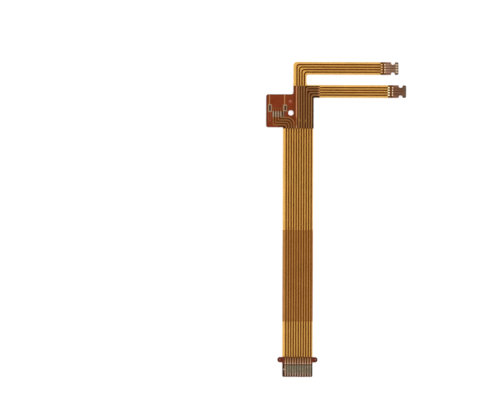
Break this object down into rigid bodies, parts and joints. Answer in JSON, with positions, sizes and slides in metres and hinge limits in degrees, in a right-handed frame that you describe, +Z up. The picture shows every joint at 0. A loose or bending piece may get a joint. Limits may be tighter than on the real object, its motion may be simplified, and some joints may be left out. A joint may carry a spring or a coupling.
{
  "type": "flat flex cable",
  "caption": "Flat flexible printed circuit: straight strip with an eared plug-in tail, a head with a footprint tab and locating hole, and side arms with notched tails.",
  "frame": {"origin": "Middle of the cable's outline in plan, on the plane it lies on. The liners and the end stiffeners have their undersides on that plane.", "axes": "+Z up, out of the conductor side. +Y along the strip from the main tail to the head. +X the way the side arms point. The cable lies flat."},
  "size_m": [0.028, 0.063, 0.0003],
  "materials": {
    "base_polyimide": "translucent amber polyimide film, satin underside",
    "coverlay_polyimide": "translucent amber polyimide cover film, glossy, faintly raised over the conductors",
    "copper_conductor": "etched copper, tin-plated and dull where it is bare at the tails and pads",
    "plated_copper": "copper with a thin tin plating",
    "tail_stiffener": "thick polyimide, dark maroon, satin",
    "arm_stiffener": "thick polyimide, brown maroon, satin",
    "head_stiffener": "thick polyimide, dark red, satin",
    "adhesive_tape": "double-sided adhesive tape",
    "release_liner": "beige release liner, finely mottled"
  },
  "bodies": {
    "root": {"base_film": "base_polyimide", "coverlay_film": "coverlay_polyimide", "conductor_01": "copper_conductor", "conductor_02": "copper_conductor", "conductor_03": "copper_conductor", "conductor_04": "copper_conductor", "conductor_05": "copper_conductor", "conductor_06": "copper_conductor", "conductor_07": "copper_conductor", "conductor_08": "copper_conductor", "conductor_09": "copper_conductor", "conductor_10": "copper_conductor", "conductor_11": "copper_conductor", "anchor_pad_left": "plated_copper", "anchor_pad_right": "plated_copper", "fiducial_mark": "plated_copper", "main_stiffener": "tail_stiffener", "upper_arm_stiffener": "arm_stiffener", "lower_arm_stiffener": "arm_stiffener", "head_stiffener": "head_stiffener", "head_tape": "adhesive_tape", "head_liner": "release_liner", "strip_tape": "adhesive_tape", "strip_liner": "release_liner"}
  },
  "joints": []
}
